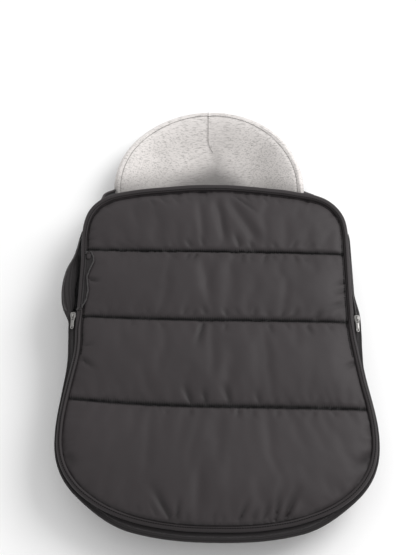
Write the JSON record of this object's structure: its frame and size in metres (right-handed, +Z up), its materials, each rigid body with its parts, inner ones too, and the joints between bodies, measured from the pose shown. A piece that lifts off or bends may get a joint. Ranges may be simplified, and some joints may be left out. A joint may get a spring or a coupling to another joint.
{
  "type": "stroller footmuff",
  "caption": "Padded pushchair footmuff with a quilted zip-on apron, gusset walls, jersey-lined back panel and harness slots.",
  "frame": {"origin": "point on the flat underside of the back panel, on the centre line", "axes": "+Y from the foot end to the head end, +Z up from the underside to the quilted apron, +X across to the right seen from the foot end"},
  "size_m": [0.4888, 0.7843, 0.1091],
  "materials": {
    "charcoal_nylon": "satin woven nylon",
    "wadding": "soft fibre wadding",
    "black_fleece": "short-pile fleece",
    "marl_jersey": "heather knit jersey",
    "charcoal_binding": "woven binding",
    "zip_tape": "woven tape",
    "zip_coil": "satin nylon coil",
    "silver_metal": "satin plated alloy",
    "elastic_webbing": "ribbed elastic webbing"
  },
  "bodies": {
    "boot": {"apron_zip_coil": "zip_coil", "apron_zip_tape": "zip_tape", "back_lining": "marl_jersey", "back_foot_shell": "charcoal_nylon", "back_foot_wadding": "wadding", "back_seat_shell": "charcoal_nylon", "back_seat_wadding": "wadding", "back_middle_shell": "charcoal_nylon", "back_middle_wadding": "wadding", "back_head_shell": "charcoal_nylon", "back_head_wadding": "wadding", "left_crotch_seam": "charcoal_binding", "right_crotch_seam": "charcoal_binding", "left_waist_seam": "charcoal_binding", "middle_waist_seam": "charcoal_binding", "right_waist_seam": "charcoal_binding", "left_shoulder_seam": "charcoal_binding", "middle_shoulder_seam": "charcoal_binding", "right_shoulder_seam": "charcoal_binding", "boot_zip_coil": "zip_coil", "boot_zip_tape": "zip_tape", "crotch_slot_facing": "charcoal_binding", "gusset_lining": "black_fleece", "gusset_shell": "charcoal_nylon", "head_strap": "elastic_webbing", "left_boot_tape_tab": "zip_tape", "left_shoulder_slot_facing": "charcoal_binding", "left_waist_slot_facing": "charcoal_binding", "lower_apron_lining": "black_fleece", "lower_apron_shell": "charcoal_nylon", "lower_apron_wadding": "wadding", "lower_band": "charcoal_binding", "right_boot_tape_tab": "zip_tape", "right_shoulder_slot_facing": "charcoal_binding", "right_waist_slot_facing": "charcoal_binding"},
    "mid_flap": {"mid_apron_lining": "black_fleece", "mid_apron_shell": "charcoal_nylon", "mid_apron_wadding": "wadding", "left_mid_band": "charcoal_binding", "right_mid_band": "charcoal_binding", "left_free_tape": "zip_tape", "right_free_tape": "zip_tape", "left_free_coil": "zip_coil", "right_free_coil": "zip_coil", "left_tape_tab": "zip_tape", "right_tape_tab": "zip_tape"},
    "collar_flap": {"collar_binding": "charcoal_binding", "collar_lining": "black_fleece", "collar_shell": "charcoal_nylon", "collar_wadding": "wadding"},
    "left_zip_slider": {"left_slider": "silver_metal"},
    "left_zip_puller": {"left_puller": "silver_metal"},
    "right_zip_slider": {"right_slider": "silver_metal"},
    "right_zip_puller": {"right_puller": "silver_metal"}
  },
  "joints": [
    {"name": "mid_fold", "type": "hinge", "parent": "boot", "child": "mid_flap", "pos_m": [0, -0.0095, 0.09605], "axis": [1, 0, 0], "range_deg": [0, 115]},
    {"name": "collar_fold", "type": "hinge", "parent": "mid_flap", "child": "collar_flap", "pos_m": [0, 0.1145, 0.0961], "axis": [1, 0, 0], "range_deg": [0, 100]},
    {"name": "left_zip_run", "type": "slide", "parent": "boot", "child": "left_zip_slider", "axis": [0, 1, 0], "range_m": [0, 0.1]},
    {"name": "left_puller_swing", "type": "hinge", "parent": "left_zip_slider", "child": "left_zip_puller", "pos_m": [-0.215, -0.0016, 0.0883], "axis": [-1, 0, 0], "range_deg": [0, 170]},
    {"name": "right_zip_run", "type": "slide", "parent": "boot", "child": "right_zip_slider", "axis": [0, 1, 0], "range_m": [0, 0.1]},
    {"name": "right_puller_swing", "type": "hinge", "parent": "right_zip_slider", "child": "right_zip_puller", "pos_m": [0.215, -0.0016, 0.0883], "axis": [-1, 0, 0], "range_deg": [0, 170]}
  ]
}
